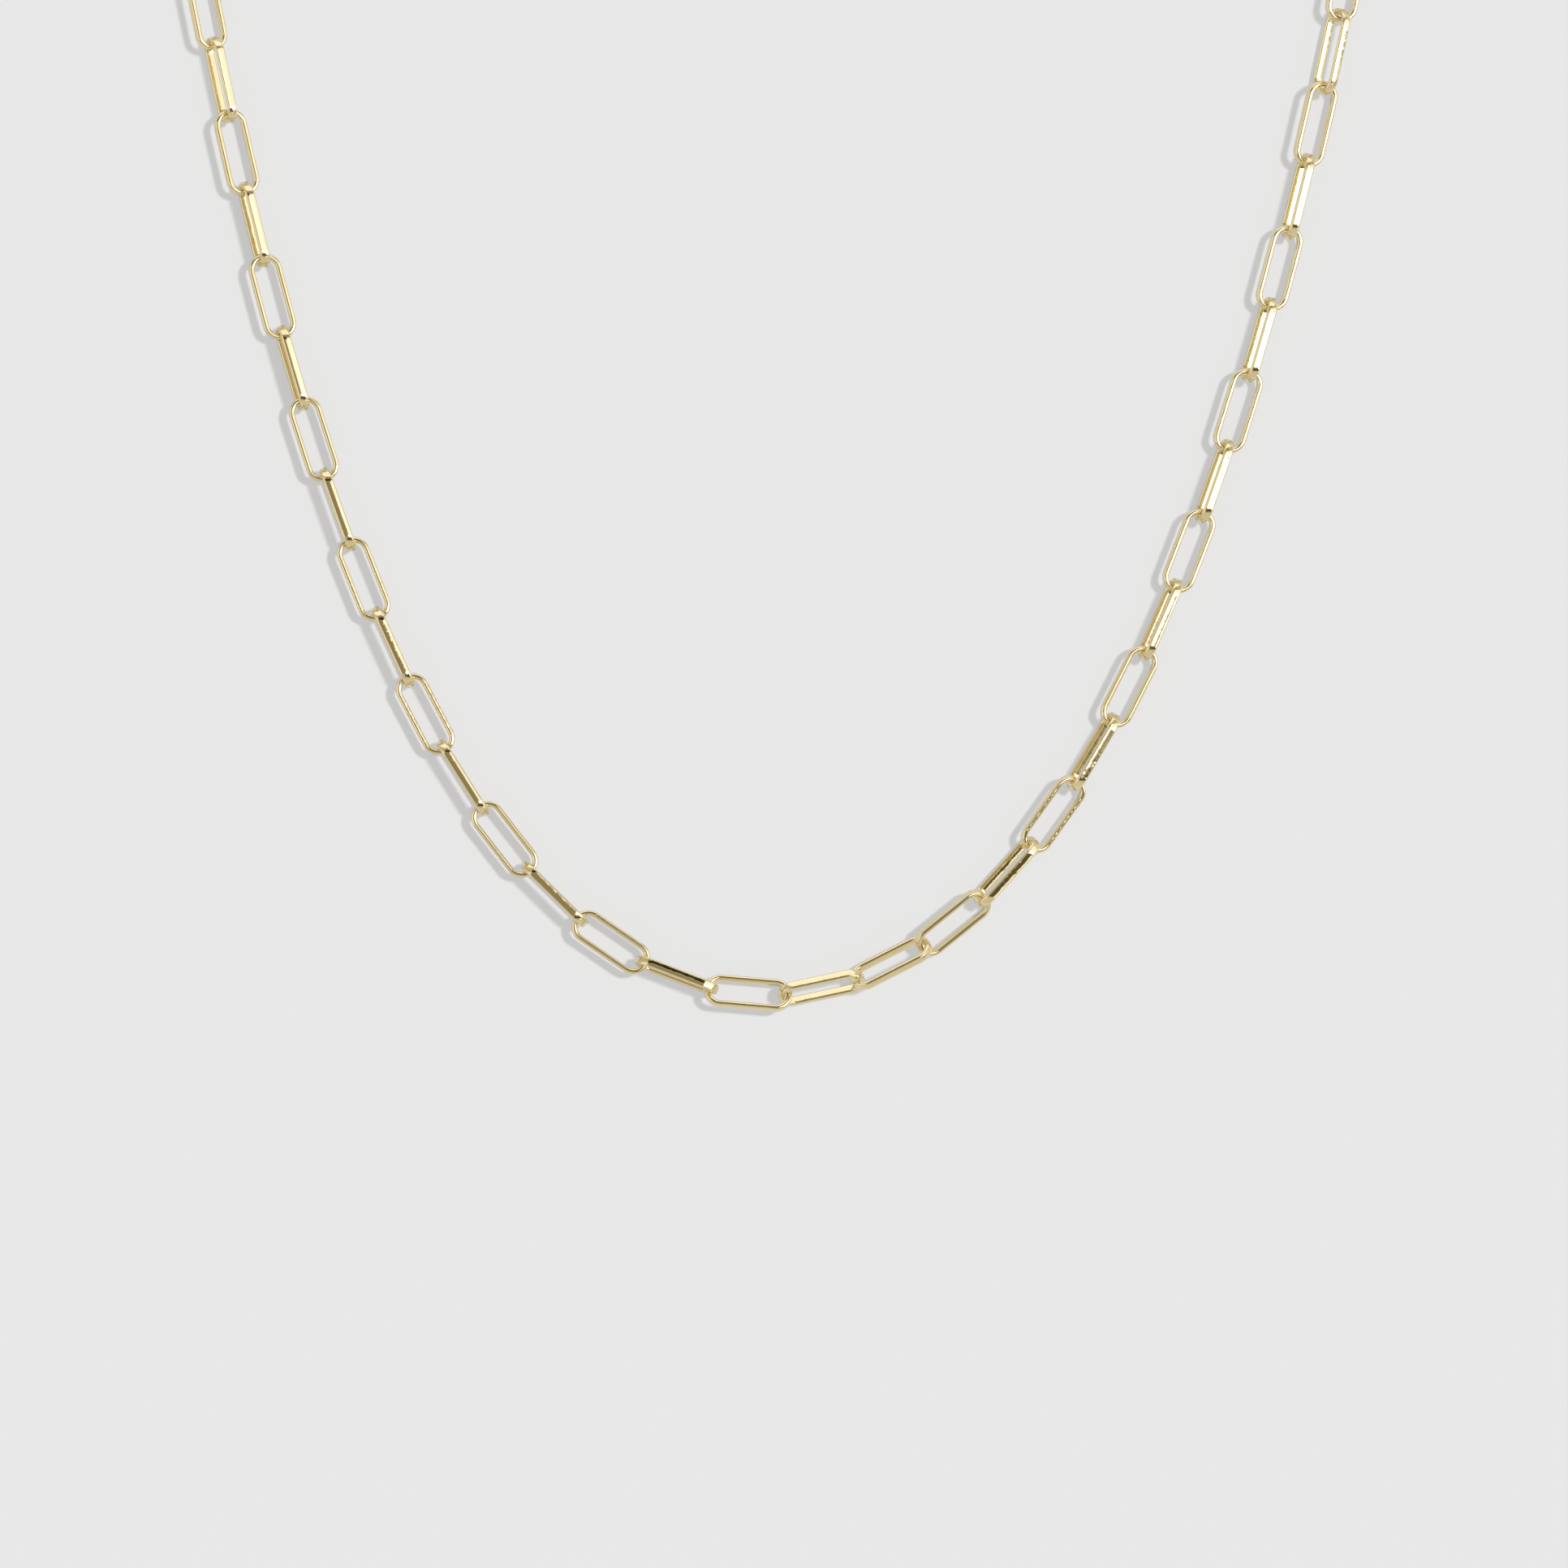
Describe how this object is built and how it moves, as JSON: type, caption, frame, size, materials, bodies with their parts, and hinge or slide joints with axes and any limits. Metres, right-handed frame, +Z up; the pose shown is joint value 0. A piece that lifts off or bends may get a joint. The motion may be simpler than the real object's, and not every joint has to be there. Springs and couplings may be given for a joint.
{
  "type": "paperclip chain necklace",
  "caption": "Closed necklace loop of long paperclip links in polished gold flat wire, hanging in its own curve, with one plain clasp at the top.",
  "frame": {"origin": "top of the loop, on the chain's centre line, where a neck or a hook holds the necklace up", "axes": "+Z up, +X to the right as seen from the front, and the front looks along -Y"},
  "size_m": [0.1114, 0.003, 0.1778],
  "materials": {
    "gold": "polished pale gold plate",
    "clasp_gold": "polished pale gold plate"
  },
  "bodies": {
    "root": {"left_chain": "gold", "right_chain": "gold", "clasp": "clasp_gold"}
  },
  "joints": []
}
